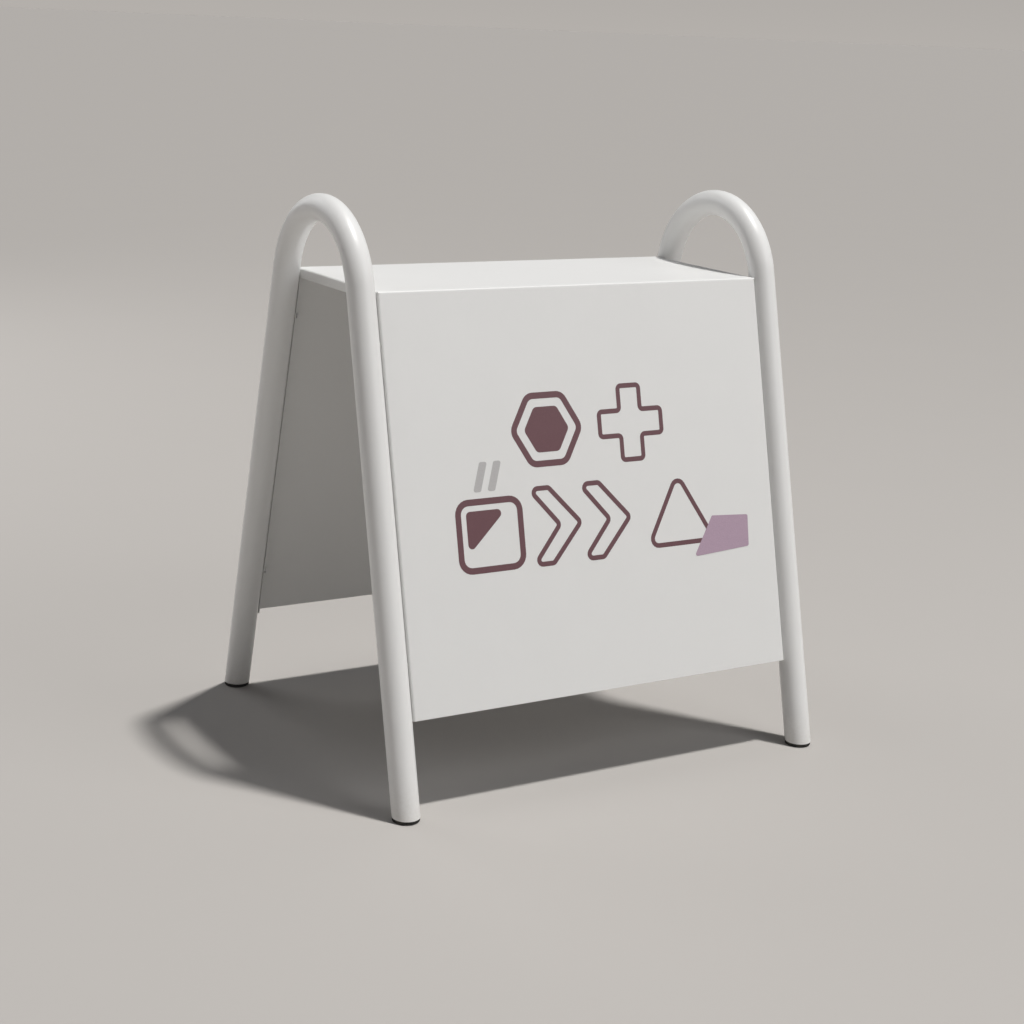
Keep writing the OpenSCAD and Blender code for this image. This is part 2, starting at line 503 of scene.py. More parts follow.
@dataclass(frozen=True)
class MouldedPlastic(Finish):
    """Black moulding with a spark-eroded grain and a trace of dust in it."""

    grain_spacing: float = 0.0006
    grain_depth: float = 0.00003
    patch_spacing: float = 0.007
    patch_gloss: float = 0.25
    dust_start: float = 0.45
    dust_growth: float = 0.9
    dust_colour: Colour = (0.20, 0.17, 0.14)

    def paint(self, graph: Graph, place: Wire) -> dict[str, Value]:
        """Grain, uneven gloss and dust.

        Args:
            graph: The material's graph.
            place: Coordinates in metres.

        Returns:
            Wires by the names of the shader's sockets.
        """
        grain = self.noise(graph, place, self.grain_spacing, 2.0)
        patch = self.noise(graph, place, self.patch_spacing, 4.0)
        dust = (patch - self.dust_start) * self.dust_growth
        return {
            "Base Color": self.tint(graph, dust, self.colour, self.dust_colour),
            "Roughness": self.roughness + (patch - 0.5) * self.patch_gloss,
            "Normal": self.bump(graph, grain, self.grain_depth),
        }


@dataclass(frozen=True)
class CutFilm(Finish):
    """Self-adhesive vinyl: an even colour with a fine printed grain and a soft gloss."""

    grain_spacing: float = 0.0012
    grain_start: float = 0.3
    grain_growth: float = 1.4
    grain_gain: float = 1.28
    grain_lift: float = 0.008
    ripple_spacing: float = 0.02
    ripple_gloss: float = 0.12
    ripple_depth: float = 0.00004

    def paint(self, graph: Graph, place: Wire) -> dict[str, Value]:
        """Grain in the colour, and the faint unevenness of film smoothed on by hand.

        Args:
            graph: The material's graph.
            place: Coordinates in metres.

        Returns:
            Wires by the names of the shader's sockets.
        """
        grain = self.noise(graph, place, self.grain_spacing, 3.0)
        ripple = self.noise(graph, place, self.ripple_spacing, 2.0)
        light = tuple(min(1.0, c * self.grain_gain + self.grain_lift) for c in self.colour)
        amount = (grain - self.grain_start) * self.grain_growth
        return {
            "Base Color": self.tint(graph, amount, self.colour, light),
            "Roughness": self.roughness + (ripple - 0.5) * self.ripple_gloss,
            "Normal": self.bump(graph, ripple, self.ripple_depth),
        }


@dataclass(frozen=True)
class StudioPaper(Finish):
    """The pale floor, a sheet of matt background paper."""

    mottle_spacing: float = 0.35
    mottle_amount: float = 0.5
    shade: float = 0.97

    def paint(self, graph: Graph, place: Wire) -> dict[str, Value]:
        """A very soft mottle, so that the floor isn't a flat fill.

        Args:
            graph: The material's graph.
            place: Coordinates in metres.

        Returns:
            Wires by the names of the shader's sockets.
        """
        mottle = self.noise(graph, place, self.mottle_spacing, 4.0) * self.mottle_amount
        shaded = tuple(c * self.shade for c in self.colour)
        return {"Base Color": self.tint(graph, mottle, self.colour, shaded)}


class Palette:
    """The finishes of this board, each made once."""

    def __init__(self) -> None:
        """Builds every material."""
        self.tube_white = PowderCoat("tube_white", (0.81, 0.81, 0.80), 0.36).build()
        self.sheet_white = PowderCoat("sheet_white", (0.79, 0.79, 0.78), 0.42, 0.0022).build()
        self.zinc = Plating("zinc_plate", (0.70, 0.71, 0.73), 0.30).build()
        blued = (0.18, 0.16, 0.15)
        self.spring_steel = Plating("spring_steel", (0.30, 0.30, 0.32), 0.42, blued).build()
        self.black_nylon = MouldedPlastic("black_nylon", (0.018, 0.018, 0.019), 0.48).build()
        self.black_pad = MouldedPlastic("black_pad", (0.012, 0.012, 0.012), 0.62).build()
        self.maroon = CutFilm("film_maroon", (0.125, 0.052, 0.062), 0.42).build()
        self.mauve = CutFilm("film_mauve", (0.395, 0.285, 0.365), 0.42).build()
        self.grey = CutFilm("film_grey", (0.44, 0.43, 0.43), 0.42).build()


# --------------------------------------------------------------------------------------
# Places that the pieces share
# --------------------------------------------------------------------------------------


@dataclass(frozen=True)
class Layout:
    """Sizes that several pieces share. Places come from the frame, and the rest is the design's."""

    half_spacing: float
    tube_radius: float
    hoop_top: float
    tube_end: float
    shelf: float
    lower_edge: float
    bend_radius: float = 0.120
    rake: float = math.radians(14.2)
    tube_wall: float = 0.002
    sheet: float = 0.0015
    fold_inner: float = 0.0015
    end_gap: float = 0.001
    relief: float = 0.0006
    head_radius: float = 0.00525
    head_room: float = 0.00025
    screw_inset: float = 0.070

    @classmethod
    def from_frame(cls) -> "Layout":
        """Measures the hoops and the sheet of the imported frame.

        Returns:
            The layout.
        """
        low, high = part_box("right_hoop")
        sheet_low, sheet_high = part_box("board_sheet")
        # Allows for the sheet's own thickness but not for its returns, which hang lower than the
        # faces do, so this edge lies about 3 mm under the frame's
        slope = math.sin(cls.rake) * cls.sheet
        measures = {
            "half_spacing": (low.x + high.x) / 2,
            "tube_radius": (high.x - low.x) / 2,
            "hoop_top": high.z,
            "tube_end": low.z,
            "shelf": sheet_high.z,
            "lower_edge": sheet_low.z + slope,
        }
        return cls(**{name: round(value, FRAME_DECIMALS) for name, value in measures.items()})

    @property
    def bend_centre(self) -> float:
        """Height of the centre of the top bend."""
        return self.hoop_top - self.tube_radius - self.bend_radius

    def leg_y(self, z: float) -> float:
        """Where a leg runs.

        Args:
            z: The height.

        Returns:
            The distance of the leg's axis from the middle plane at that height.
        """
        tangent_y = self.bend_radius * math.cos(self.rake)
        tangent_z = self.bend_centre + self.bend_radius * math.sin(self.rake)
        return tangent_y + (tangent_z - z) * math.tan(self.rake)

    @property
    def fold_outer(self) -> float:
        """Outer radius of the sheet's folds."""
        return self.fold_inner + self.sheet

    @property
    def face_offset(self) -> float:
        """How far a face lies outside the leg's centre plane."""
        return self.fold_outer + self.head_room + self.head_radius

    @property
    def return_depth(self) -> float:
        """Depth of the returns at the ends of the sheet."""
        return self.face_offset + self.head_radius + self.head_room

    @property
    def corner_y(self) -> float:
        """Where the planes of the face and the shelf meet."""
        return self.leg_y(self.shelf) + self.face_offset / math.cos(self.rake)

    @property
    def board_half(self) -> float:
        """Half of the sheet's width."""
        return self.half_spacing - self.tube_radius - self.end_gap

    @property
    def screw_heights(self) -> tuple[float, float]:
        """Heights of the two screws on each leg."""
        return self.lower_edge + self.screw_inset, self.shelf - self.screw_inset

    def face_matrix(self, face: Face) -> Matrix:
        """A frame on a face: X across the board, Y up the face, Z out of it, and its origin where
        the face's plane meets the shelf's.

        Args:
            face: Which face.

        Returns:
            The frame as a matrix. On the back face X runs to the left, as its reader sees it.
        """
        turn = Matrix.Rotation(math.pi if face is Face.BACK else 0.0, 4, "Z")
        lift = Matrix.Translation((0.0, -self.corner_y, self.shelf))
        return turn @ lift @ Matrix.Rotation(math.pi / 2 - self.rake, 4, "X")


# --------------------------------------------------------------------------------------
# Mesh helpers
# --------------------------------------------------------------------------------------


def mesh_from(name: str, bm: bmesh.types.BMesh) -> bpy.types.Mesh:
    """Turns a bmesh into a mesh and frees it.

    Args:
        name: The mesh's name.
        bm: The bmesh.

    Returns:
        The mesh.
    """
    mesh = bpy.data.meshes.new(name)
    bm.to_mesh(mesh)
    bm.free()
    return mesh


def add_grid(bm: bmesh.types.BMesh, rows: Sequence[Sequence[Vector]], closed: bool = False) -> None:
    """Adds a sheet of quads.

    Args:
        bm: Where the faces go.
        rows: Rows of points, all of one length.
        closed: Whether each row joins up with its own start.
    """
    verts = [[bm.verts.new(p) for p in row] for row in rows]
    for lower, upper in zip(verts, verts[1:]):
        last = len(lower) if closed else len(lower) - 1
        for i in range(last):
            j = (i + 1) % len(lower)
            bm.faces.new((lower[i], lower[j], upper[j], upper[i]))


def seal(bm: bmesh.types.BMesh, gap: float = WELD) -> None:
    """Merges doubled points and turns every face outwards."""
    bmesh.ops.remove_doubles(bm, verts=bm.verts, dist=gap)
    bmesh.ops.recalc_face_normals(bm, faces=bm.faces)


def lathe(
    name: str,
    profile: Sequence[Point2],
    sides: int,
    shape: Optional[Callable[[float, float, float], float]] = None,
) -> bpy.types.Mesh:
    """Turns a profile round Z into a closed mesh.

    Args:
        name: The mesh's name.
        profile: Radius and height of each ring, in order.
        sides: How many points a ring has.
        shape: Gives the radius from the profile's radius, the angle and the height.

    Returns:
        The mesh. Rings of no radius become poles.
    """
    bm = bmesh.new()
    rows = []
    for radius, z in profile:
        ring = []
        for i in range(sides):
            angle = 2 * math.pi * i / sides
            r = shape(radius, angle, z) if shape and radius > 0 else radius
            ring.append(Vector((r * math.cos(angle), r * math.sin(angle), z)))
        rows.append(ring)
    add_grid(bm, rows, closed=True)
    seal(bm)
    return mesh_from(name, bm)


@dataclass(frozen=True)
class Thread:
    """A thread cut into a shank that stands on Z."""

    radius: float
    pitch: float
    depth: float
    chamfer: float

    def rings(self, start: float, end: float) -> list[Point2]:
        """Rings of the shank, with a chamfer at its end.

        Args:
            start: The height at which the shank starts.
            end: The height at which it ends.

        Returns:
            The radius and height of each ring after the first.
        """
        steps = int((end - start) / self.pitch * RINGS_A_TURN)
        rings = [(self.radius, start + (end - start) * i / steps) for i in range(1, steps)]
        return [*rings, (self.radius - self.chamfer, end)]

    def groove(self, angle: float, z: float, room: float) -> float:
        """How deep the helix is cut.

        Args:
            angle: The angle about Z.
            z: The height.
            room: The distance to the place where the thread runs out.

        Returns:
            The depth, which fades over the last turn.
        """
        turn = (z / self.pitch - angle / (2 * math.pi)) % 1.0
        fade = min(1.0, max(0.0, room / self.pitch))
        return self.depth * (1.0 - abs(2.0 * turn - 1.0)) * fade


def hexagon(angle: float, across: float) -> float:
    """Radius of a hexagon at an angle.

    Args:
        angle: The angle about its centre.
        across: Its width across flats.

    Returns:
        The distance from the centre to its edge.
    """
    sector = math.pi / 3
    return across / 2 / math.cos((angle % sector) - sector / 2)


def arc(radius: float, centre: Point2, start: float, end: float, steps: int) -> list[Point2]:
    """Points of an arc.

    Args:
        radius: The arc's radius.
        centre: Its centre.
        start: The first angle, in degrees.
        end: The last angle, in degrees.
        steps: How many pieces it has.

    Returns:
        The points, one more than steps.
    """
    angles = [math.radians(start + (end - start) * i / steps) for i in range(steps + 1)]
    return [(centre[0] + radius * math.cos(a), centre[1] + radius * math.sin(a)) for a in angles]


def soften(obj: bpy.types.Object, width: float, segments: int = 2, angle: float = 35.0) -> None:
    """Rounds an object's sharp edges with a bevel.

    Args:
        obj: The object.
        width: The bevel's width.
        segments: How many faces it has across.
        angle: Edges sharper than this are rounded, in degrees.
    """
    bevel = obj.modifiers.new("Edges", "BEVEL")
    bevel.width = width
    bevel.segments = segments
    bevel.limit_method = "ANGLE"
    bevel.angle_limit = math.radians(angle)
    bevel.harden_normals = True


def thicken(obj: bpy.types.Object, thickness: float) -> None:
    """Gives a skin a wall on its inner side.

    Args:
        obj: The skin.
        thickness: The wall's thickness.
    """
    wall = obj.modifiers.new("Wall", "SOLIDIFY")
    wall.thickness = thickness
    wall.offset = -1.0
    wall.use_even_offset = True


def place(
    piece: bpy.types.Object,
    body: str,
    slot: Optional[str] = None,
    nodes: Iterable[str] = (),
) -> None:
    """Ties a piece to the frame.

    Args:
        piece: The finished piece.
        body: The body that it moves with.
        slot: The record's material slot, if it has one; not used.
        nodes: The CAD nodes that it stands for.
    """
    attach(piece, body)
    for node in nodes:
        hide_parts(node)
    LOG.info("%-32s rides on %-18s %6d faces", piece.name, body, len(piece.data.polygons))


# --------------------------------------------------------------------------------------
# Hoops
# --------------------------------------------------------------------------------------


@dataclass
class Hoops:
    """The two bent tubes."""

    layout: Layout
    palette: Palette
    path_points: int = 360
    sides: int = 56
    cut_blend: float = 0.060
    rim: float = 0.0004

    def build(self) -> None:
        """Sweeps both hoops, gives them their wall and ties them to the frame."""
        recipe = self.recipe()
        for side in Side:
            name = f"{side.name.lower()}_hoop"
            hoop = recipe.cook(name + "_tube", bpy.data.meshes.new(name), self.sizes(side))
            thicken(hoop, self.layout.tube_wall)
            soften(hoop, self.rim)
            place(hoop, BODY, "tube_white", [name])

    def sizes(self, side: Side) -> dict[str, Any]:
        """The tree's inputs for one hoop.

        Args:
            side: The end of the board that it stands at.

        Returns:
            The inputs by name.
        """
        lay = self.layout
        turn = math.pi / 2 - lay.rake
        leg_top = lay.bend_centre + lay.bend_radius * math.sin(lay.rake)
        leg = (leg_top - lay.tube_end) / math.cos(lay.rake)
        return {
            "Middle": side.value * lay.half_spacing,
            "Tube Radius": lay.tube_radius,
            "Bend Radius": lay.bend_radius,
            "Bend Centre": lay.bend_centre,
            "Bend Turn": turn,
            "Half Length": lay.bend_radius * turn + leg,
            "Cut Blend": self.cut_blend,
            "Path Points": self.path_points,
            "Sides": self.sides,
            "Material": self.palette.tube_white,
        }

    @staticmethod
    def recipe() -> Recipe:
        """A round tube that runs down one leg, over the bend and down the other.

        A point's station is its distance along the tube from the very top. Up to the bend's turn
        it lies on the arc, and past it on the straight leg. Near the ends the rings are sheared,
        until the last one lies level.

        Returns:
            The tree.
        """
        tree = Recipe("bent_tube")
        middle, tube_radius = tree.size("Middle"), tree.size("Tube Radius")
        radius, centre = tree.size("Bend Radius"), tree.size("Bend Centre")
        turn = tree.size("Bend Turn")
        half, blend = tree.size("Half Length"), tree.size("Cut Blend")
        count, sides = tree.size("Path Points", "Int"), tree.size("Sides", "Int")

        ends = {"Start": (-1, 0, 0), "End": (1, 0, 0)}
        line = tree.add("GeometryNodeCurvePrimitiveLine", None, ends)
        line = tree.add("GeometryNodeResampleCurve", None, {"Curve": line, "Count": count})
        along = tree.add("ShaderNodeSeparateXYZ", None, {0: tree.add("GeometryNodeInputPosition")})
        station = along * half
        angle = (station / radius).clamped(-turn, turn)
        straight = station - angle * radius
        sine, cosine = angle.function("SINE"), angle.function("COSINE")
        y = radius * sine + straight * cosine
        z = centre + radius * cosine - straight * sine
        level = ((abs(station) - half + blend) / blend).clamped(0.0, 1.0)
        path = tree.store(line, "level", level)
        path = tree.store(path, "axis_height", z)
        bent = {"Geometry": path, "Position": tree.vector(middle, y, z)}
        path = tree.add("GeometryNodeSetPosition", None, bent)

        round_section = {"Resolution": sides, "Radius": tube_radius}
        ring = tree.add("GeometryNodeCurvePrimitiveCircle", None, round_section)
        tube = tree.add("GeometryNodeCurveToMesh", None, {"Curve": path, "Profile Curve": ring})
        here = tree.add("ShaderNodeSeparateXYZ", None, {0: tree.add("GeometryNodeInputPosition")})
        drop = (here.out(2) - tree.stored("axis_height")) * tree.stored("level")
        lean = here.out(1).function("SIGN") * (math.pi / 2 - turn).function("TANGENT")
        shear = {"Geometry": tube, "Offset": tree.vector(0.0, lean * drop, -drop)}
        tree.close(tree.add("GeometryNodeSetPosition", None, shear))
        return tree


# --------------------------------------------------------------------------------------
# Sheet
# --------------------------------------------------------------------------------------


@dataclass
class BoardSheet:
    """The folded sheet, built as its outer skin and then given its thickness inwards."""

    layout: Layout
    palette: Palette
    fold_steps: int = 8
    return_steps: int = 6
    flat_steps: int = 24
    length_steps: int = 12
    edge: float = 0.00025
    weld: float = 1e-5

    def build(self) -> None:
        """Builds the skin, its wall and its softened edges, and ties it to the frame."""
        bm = bmesh.new()
        for face in Face:
            self._add_face(bm, face)
            self._add_fold(bm, face)
        self._add_shelf(bm)
        seal(bm, self.weld)
        for item in bm.faces:
            item.smooth = True
        sheet = link(bpy.data.objects.new("folded_sheet", mesh_from("folded_sheet", bm)))
        sheet.data.materials.append(self.palette.sheet_white)
        thicken(sheet, self.layout.sheet)
        soften(sheet, self.edge)
        place(sheet, BODY, "sheet_white", ["board_sheet"])

    @property
    def flat_half(self) -> float:
        """Half of the width between the returns' folds."""
        return self.layout.board_half - self.layout.fold_outer

    @property
    def setback(self) -> float:
        """Length that a main fold takes off each surface it joins."""
        return self.layout.fold_outer * self.mitre

    @property
    def mitre(self) -> float:
        """Slope of a return's end that halves the corner."""
        return math.tan((math.pi / 2 - self.layout.rake) / 2)

    def _columns(self) -> list[float]:
        """Places across the flat of a panel."""
        return [self.flat_half * (2 * i / self.flat_steps - 1) for i in range(self.flat_steps + 1)]

    def _add_panel(
        self, bm: bmesh.types.BMesh, where: Matrix, length: float, mitred_end: bool
    ) -> None:
        """Adds a flat panel and the return at each end of its width.

        Args:
            bm: Where the faces go.
            where: The panel's frame: X across, Y along it from its first fold, Z out of it.
            length: Its length along Y.
            mitred_end: Whether its far end is another fold.
        """
        lay = self.layout
        end_relief = lay.relief if mitred_end else 0.0
        shares = [i / self.length_steps for i in range(self.length_steps + 1)]
        inner = [lay.relief + (length - lay.relief - end_relief) * share for share in shares]
        stations = [0.0, *inner, *([length] if mitred_end else [])]
        add_grid(bm, [[where @ Vector((x, s, 0.0)) for x in self._columns()] for s in stations])
        quarter = arc(lay.fold_outer, (self.flat_half, -lay.fold_outer), 90, 0, self.return_steps)
        section = [*quarter, (lay.board_half, -lay.return_depth)]
        for side in Side:
            rows = []
            for share in shares:
                row = []
                for x, depth in section:
                    cut = self.mitre * max(0.0, -depth - lay.fold_outer)
                    start = lay.relief + cut
                    end = length - end_relief - (cut if mitred_end else 0.0)
                    station = start + (end - start) * share
                    row.append(where @ Vector((side.value * x, station, depth)))
                rows.append(row)
            add_grid(bm, rows)

    def _add_face(self, bm: bmesh.types.BMesh, face: Face) -> None:
        """Adds one display face, from its fold down to its lower edge.

        Args:
            bm: Where the faces go.
            face: Which face.
        """
        lay = self.layout
        length = (lay.shelf - lay.lower_edge) / math.cos(lay.rake) - self.setback
        down = Matrix.Translation((0.0, -self.setback, 0.0)) @ Matrix.Diagonal((1, -1, 1, 1))
        self._add_panel(bm, lay.face_matrix(face) @ down, length, False)

    def _add_shelf(self, bm: bmesh.types.BMesh) -> None:
        """Adds the shelf, from its front fold to its back fold.

        Args:
            bm: Where the faces go.
        """
        lay = self.layout
        start = lay.corner_y - self.setback
        self._add_panel(bm, Matrix.Translation((0.0, -start, lay.shelf)), 2 * start, True)

    def _add_fold(self, bm: bmesh.types.BMesh, face: Face) -> None:
        """Adds the fold between the shelf and one face, almost as wide as the sheet.

        Args:
            bm: Where the faces go.
            face: Which face.
        """
        lay = self.layout
        tongue = lay.board_half - lay.relief
        columns = [-tongue, *self._columns(), tongue]
        centre = (lay.corner_y - self.setback, lay.shelf - lay.fold_outer)
        steps = arc(lay.fold_outer, centre, 90, math.degrees(lay.rake), self.fold_steps)
        add_grid(bm, [[Vector((x, face.value * y, z)) for x in columns] for y, z in steps])


# --------------------------------------------------------------------------------------
# Fasteners
# --------------------------------------------------------------------------------------


@dataclass
class Fasteners:
    """Screws, lock washers and rivet nuts of one leg, each drawn on Z with its seat at Z = 0."""

    layout: Layout
    palette: Palette
    a_leg: int = 2
    sides: int = 48
    arc_step: int = 10
    edge: float = 0.0002
    thread: Thread = Thread(radius=0.003, pitch=0.001, depth=0.0004, chamfer=0.0005)
    screw_length: float = 0.016
    head_height: float = 0.0033
    head_rim: float = 0.0007
    socket_across: float = 0.004
    socket_depth: float = 0.002
    socket_point: float = 0.0006
    socket_chamfer: float = 0.0003
    mouth: float = 1.22
    washer_thickness: float = 0.0016
    washer_radius: float = 0.00495
    washer_split: float = 0.0005
    washer_ease: float = 0.00015
    washer_slant: float = 0.10
    bore_radius: float = 0.00305
    flange_radius: float = 0.006
    flange_seat: float = 0.00005
    sleeve_radius: float = 0.0045
    sleeve_length: float = 0.015
    sleeve_chamfer: float = 0.0004
    bulge: float = 0.003
    bulge_step: int = 15

    def build(self) -> None:
        """Places each kind of fastener on every leg."""
        recipe = self.recipe()
        kinds = (
            ("screws", self.screw, self.palette.zinc, "zinc_screw"),
            ("lock_washers", self.washer, self.palette.spring_steel, "spring_steel"),
            ("rivet_nuts", self.rivet_nut, self.palette.zinc, "zinc_nut"),
        )
        for face in Face:
            for side in Side:
                corner = f"{face.name.lower()}_{side.name.lower()}"
                for kind, draw, material, slot in kinds:
                    sizes = {**self.seats(face, side), "Material": material}
                    piece = recipe.cook(f"{corner}_{kind}_set", draw(), sizes)
                    place(piece, BODY, slot, [f"{corner}_{kind}"])

    def seats(self, face: Face, side: Side) -> dict[str, Any]:
        """The tree's inputs for the row of fasteners on one leg.

        Args:
            face: The face that the leg stands at.
            side: The end of the board that it stands at.

        Returns:
            The lowest and highest seat, the turn that lays Z outwards, and how many seats there are.
        """
        lay = self.layout
        x = side.value * (lay.board_half - lay.sheet)
        low, high = lay.screw_heights
        return {
            "Lowest": (x, face.value * lay.leg_y(low), low),
            "Highest": (x, face.value * lay.leg_y(high), high),
            "Turn": (0.0, side.value * math.pi / 2, 0.0),
            "Count": self.a_leg,
        }

    @staticmethod
    def recipe() -> Recipe:
        """Copies of the incoming mesh, evenly spaced from the lowest seat to the highest.

        Returns:
            The tree.
        """
        tree = Recipe("row_of_fasteners")
        low, high = tree.size("Lowest", "Vector"), tree.size("Highest", "Vector")
        turn, count = tree.size("Turn", "Vector"), tree.size("Count", "Int")
        line = tree.add("GeometryNodeMeshLine", {"mode": "END_POINTS"},
                        {"Count": count, "Start Location": low, "Offset": high})
        row = tree.add("GeometryNodeInstanceOnPoints", None,
                       {"Points": line, "Instance": tree.geometry, "Rotation": turn})
        tree.close(row)
        return tree

    def screw(self) -> bpy.types.Mesh:
        """A button-head screw with a hexagon socket and a helical thread.

        Returns:
            The mesh, with its head towards -Z.
        """
        seat = -self.washer_thickness
        end = seat + self.screw_length
        head, across = self.layout.head_radius, self.socket_across
        crown = seat - self.head_height
        floor = crown + self.socket_depth
        mouth = across / 2 * self.mouth
        rim = seat - self.head_rim
        rise = self.head_height - self.head_rim
        turns = [math.radians(a) for a in range(0, 91, self.arc_step)]
        dome = [(mouth + (head - mouth) * math.sin(a), rim - rise * math.cos(a)) for a in turns]
        profile = [
            (0.0, floor + self.socket_point), (across / 2, floor),
            (across / 2, crown + self.socket_chamfer), *dome,
            (head, seat - self.edge), (head - self.edge, seat), (self.thread.radius, seat),
            *self.thread.rings(seat, end), (0.0, end),
        ]

        def shape(radius: float, angle: float, z: float) -> float:
            """A hexagon in the socket, a helix on the shank and a circle elsewhere.

            Args:
                radius: The profile's radius.
                angle: The angle about the screw.
                z: The height.

            Returns:
                The radius at that angle.
            """
            if z < rim and math.isclose(radius, across / 2):
                return hexagon(angle, across)
            if z > seat + WELD:
                return radius - self.thread.groove(angle, z, end - z)
            return radius

        return lathe("button_screw", profile, self.sides, shape)

    def washer(self) -> bpy.types.Mesh:
        """A split ring of rectangular section, pressed flat.

        Returns:
            The mesh, just under Z = 0.
        """
        bm = bmesh.new()
        opening = self.washer_split / self.washer_radius
        ease = self.washer_ease
        inner, outer = self.bore_radius + ease, self.washer_radius - ease
        top, bottom = -ease, -self.washer_thickness + ease
        section = [
            (inner, bottom - ease), (outer, bottom - ease), (outer + ease, bottom),
            (outer + ease, top), (outer, top + ease), (inner, top + ease),
            (inner - ease, top), (inner - ease, bottom),
        ]
        rows = []
        for i in range(self.sides + 1):
            angle = opening / 2 + (2 * math.pi - opening) * i / self.sides
            row = []
            for radius, z in section:
                slanted = angle + self.washer_slant * z / self.washer_thickness
                row.append(Vector((radius * math.cos(slanted), radius * math.sin(slanted), z)))
            rows.append(row)
        add_grid(bm, rows, closed=True)
        bm.verts.ensure_lookup_table()
        bm.faces.new(bm.verts[: len(section)])
        bm.faces.new(bm.verts[-len(section):])
        seal(bm)
        return mesh_from("lock_washer", bm)

    def rivet_nut(self) -> bpy.types.Mesh:
        """A flange in the gap, a sleeve through the tube's wall and the bulge behind it.

        Returns:
            The mesh, from the sheet's outer side towards +Z.
        """
        lay = self.layout
        tube_bore = lay.tube_radius - lay.tube_wall
        # How far the tube's inner side curves back under the rim of the bulge
        curve = lay.tube_radius - math.sqrt(tube_bore**2 - self.flange_radius**2)
        flange, end = lay.sheet, lay.sheet + self.sleeve_length
        wall = flange + lay.end_gap
        behind = wall + curve + self.flange_seat
        swell = self.flange_radius - self.sleeve_radius
        turns = [math.radians(a) for a in range(self.bulge_step, 181, self.bulge_step)]
        profile = [
            (self.bore_radius, flange), (self.flange_radius - self.edge, flange),
            (self.flange_radius, flange + self.edge), (self.flange_radius, wall),
            (self.sleeve_radius, wall), (self.sleeve_radius, behind),
            *[(self.sleeve_radius + swell * math.sin(a), behind + self.bulge * (1 - math.cos(a)) / 2)
              for a in turns],
            (self.sleeve_radius, end - self.sleeve_chamfer),
            (self.sleeve_radius - self.sleeve_chamfer, end),
            (self.bore_radius, end), (self.bore_radius, flange),
        ]
        return lathe("rivet_nut", profile, self.sides)


# --------------------------------------------------------------------------------------
# Feet
# --------------------------------------------------------------------------------------


